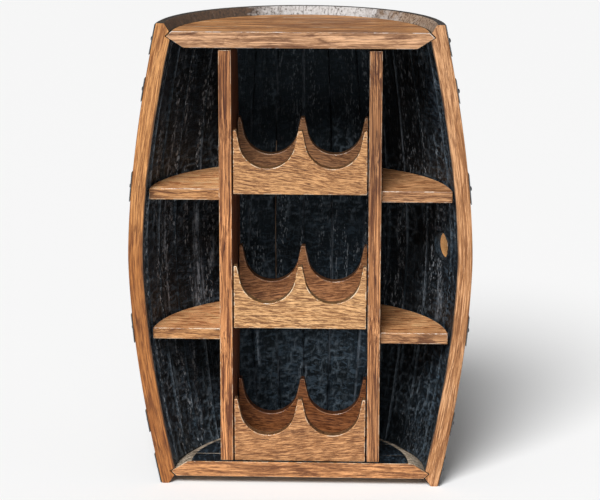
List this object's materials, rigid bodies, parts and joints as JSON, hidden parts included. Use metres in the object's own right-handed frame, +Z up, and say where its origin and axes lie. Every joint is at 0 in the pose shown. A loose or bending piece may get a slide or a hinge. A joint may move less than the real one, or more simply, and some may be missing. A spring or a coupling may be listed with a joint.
{
  "type": "wine rack",
  "caption": "Freestanding wine rack made from half an oak whiskey barrel, with upright dividers, curved side shelves and notched bottle cradles.",
  "frame": {"origin": "on the floor, under the middle of the object's box, which is half the barrel's depth behind the sawn face", "axes": "+Z up along the barrel's axis, the open sawn side faces -Y, +X is on the right seen from the open side"},
  "size_m": [0.6472, 0.3236, 0.89],
  "materials": {
    "stave_oak": "old oak, greyed outside, charred black inside, pale varnished oak on the sawn edges",
    "head_oak": "satin varnished oak, the lower one charred on its inner face",
    "insert_oak": "satin varnished oak, open grain",
    "hoop_steel": "dark weathered galvanised steel",
    "screw_steel": "black coated screws"
  },
  "bodies": {
    "root": {"stave_01": "stave_oak", "stave_02": "stave_oak", "stave_03": "stave_oak", "stave_04": "stave_oak", "stave_05": "stave_oak", "stave_06": "stave_oak", "stave_07": "stave_oak", "stave_08": "stave_oak", "stave_09": "stave_oak", "stave_10": "stave_oak", "stave_11": "stave_oak", "stave_12": "stave_oak", "stave_13": "stave_oak", "stave_14": "stave_oak", "stave_15": "stave_oak", "head_hoop_upper": "hoop_steel", "head_hoop_lower": "hoop_steel", "quarter_hoop_upper": "hoop_steel", "quarter_hoop_lower": "hoop_steel", "bilge_hoop_upper": "hoop_steel", "bilge_hoop_lower": "hoop_steel", "head_hoop_upper_screw_left": "screw_steel", "head_hoop_upper_screw_right": "screw_steel", "head_hoop_lower_screw_left": "screw_steel", "head_hoop_lower_screw_right": "screw_steel", "quarter_hoop_upper_screw_left": "screw_steel", "quarter_hoop_upper_screw_right": "screw_steel", "quarter_hoop_lower_screw_left": "screw_steel", "quarter_hoop_lower_screw_right": "screw_steel", "bilge_hoop_upper_screw_left": "screw_steel", "bilge_hoop_upper_screw_right": "screw_steel", "bilge_hoop_lower_screw_left": "screw_steel", "bilge_hoop_lower_screw_right": "screw_steel", "top_head_board_1": "head_oak", "top_head_board_2": "head_oak", "top_head_board_3": "head_oak", "top_head_board_4": "head_oak", "bottom_head_board_1": "head_oak", "bottom_head_board_2": "head_oak", "bottom_head_board_3": "head_oak", "bottom_head_board_4": "head_oak", "divider_left": "insert_oak", "divider_right": "insert_oak", "divider_screw_left_front": "screw_steel", "divider_screw_left_rear": "screw_steel", "divider_screw_right_front": "screw_steel", "divider_screw_right_rear": "screw_steel", "shelf_upper_left": "insert_oak", "shelf_upper_right": "insert_oak", "shelf_lower_left": "insert_oak", "shelf_lower_right": "insert_oak", "cradle_upper_front": "insert_oak", "cradle_upper_rear": "insert_oak", "cradle_middle_front": "insert_oak", "cradle_middle_rear": "insert_oak", "cradle_lower_front": "insert_oak", "cradle_lower_rear": "insert_oak"}
  },
  "joints": []
}
